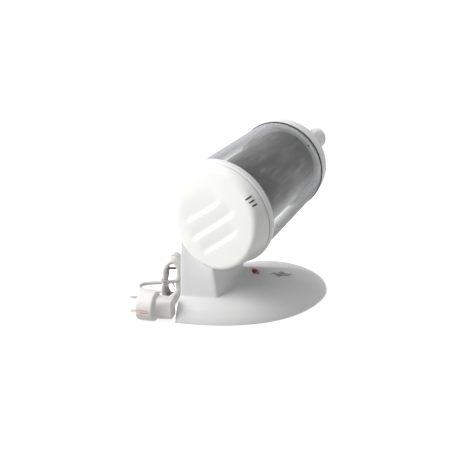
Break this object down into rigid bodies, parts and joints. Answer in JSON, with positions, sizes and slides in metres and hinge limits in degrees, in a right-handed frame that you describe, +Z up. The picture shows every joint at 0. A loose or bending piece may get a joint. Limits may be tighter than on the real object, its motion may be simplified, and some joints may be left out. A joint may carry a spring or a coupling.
{
  "type": "uv water clarifier",
  "caption": "Desktop ultraviolet water clarifier: tilted clear drum with a dark lamp cylinder and twist-off ridged cover on a white oval stand with mains cord.",
  "frame": {"origin": "centre of the footprint box at ground level, measured without the cord and plug", "axes": "+Y is the horizontal direction of the drum axis towards the rear ports, +Z is up, +X is to the right seen from the front"},
  "size_m": [0.2451, 0.2913, 0.2417],
  "materials": {
    "white_shell": "satin white moulded plastic",
    "milky_cover": "milky white plastic, slightly translucent",
    "grey_plate": "light grey matt plastic",
    "clear_tube": "clear polished acrylic",
    "quartz": "clear quartz",
    "lamp_glass": "frosted lamp glass",
    "dark_steel": "dark polished sheet steel",
    "steel": "plain steel",
    "nickel": "nickel plate",
    "earth_copper": "tarnished copper strip",
    "copper": "enamelled copper winding",
    "rubber": "black rubber",
    "board": "green circuit board",
    "dark_plastic": "dark moulded plastic",
    "ivory_plastic": "ivory ceramic-like plastic",
    "red_lens": "red translucent button",
    "cord_sheath": "white soft cord sheath",
    "plug_plastic": "white moulded plug",
    "mark_grey": "dark grey printed bars"
  },
  "bodies": {
    "stand": {"stand_shell": "white_shell", "base_plate": "grey_plate", "base_screws": "steel", "rubber_feet": "rubber", "ballast_board": "board", "ballast_choke": "copper", "ballast_capacitors": "dark_plastic", "terminal_block": "ivory_plastic", "switch_body": "dark_plastic", "cord_gland": "dark_plastic", "power_cord": "cord_sheath", "cord_hank": "cord_sheath", "plug_lead": "cord_sheath", "cord_tie": "cord_sheath", "plug_body": "plug_plastic", "plug_boot": "plug_plastic", "plug_pins": "nickel", "plug_earth_clips": "earth_copper", "lamp_lead": "rubber", "neck_screws": "steel", "saddle_pads": "rubber", "front_housing": "white_shell", "front_tube_seal": "rubber", "clear_tube": "clear_tube", "rear_collar": "grey_plate", "rear_gasket": "rubber", "rear_cap": "white_shell", "steel_reflector": "dark_steel", "reflector_front_ring": "steel", "reflector_rear_ring": "steel", "quartz_sleeve": "quartz", "sleeve_gland_nut": "steel", "sleeve_o_ring": "rubber", "lamp_socket": "ivory_plastic", "uv_lamp_tubes": "lamp_glass", "uv_lamp_base": "ivory_plastic", "outlet_spigot": "white_shell", "outlet_o_ring": "rubber", "inlet_spigot": "white_shell", "inlet_o_ring": "rubber", "cover_seal": "rubber"},
    "button": {"power_button": "red_lens"},
    "cover": {"front_cover": "milky_cover", "index_bars": "mark_grey"},
    "outlet_nut": {"outlet_nut": "white_shell"},
    "inlet_nut": {"inlet_nut": "white_shell"}
  },
  "joints": [
    {"name": "button_press", "type": "slide", "parent": "stand", "child": "button", "axis": [0, 0, -1], "range_m": [0, 0.0015], "stiffness_N_per_m": 400, "springref_m": -0.0005},
    {"name": "cover_twist", "type": "hinge", "parent": "stand", "child": "cover", "pos_m": [-0.009, -0.10478, 0.13596], "axis": [0, 0.969, 0.247], "range_deg": [0, 40]},
    {"name": "outlet_nut_turn", "type": "hinge", "parent": "stand", "child": "outlet_nut", "pos_m": [0.019, 0.10651, 0.21149], "axis": [0, 0.969, 0.247], "continuous": true},
    {"name": "inlet_nut_turn", "type": "hinge", "parent": "stand", "child": "inlet_nut", "pos_m": [-0.037, 0.11689, 0.17079], "axis": [0, 0.969, 0.247], "continuous": true}
  ]
}
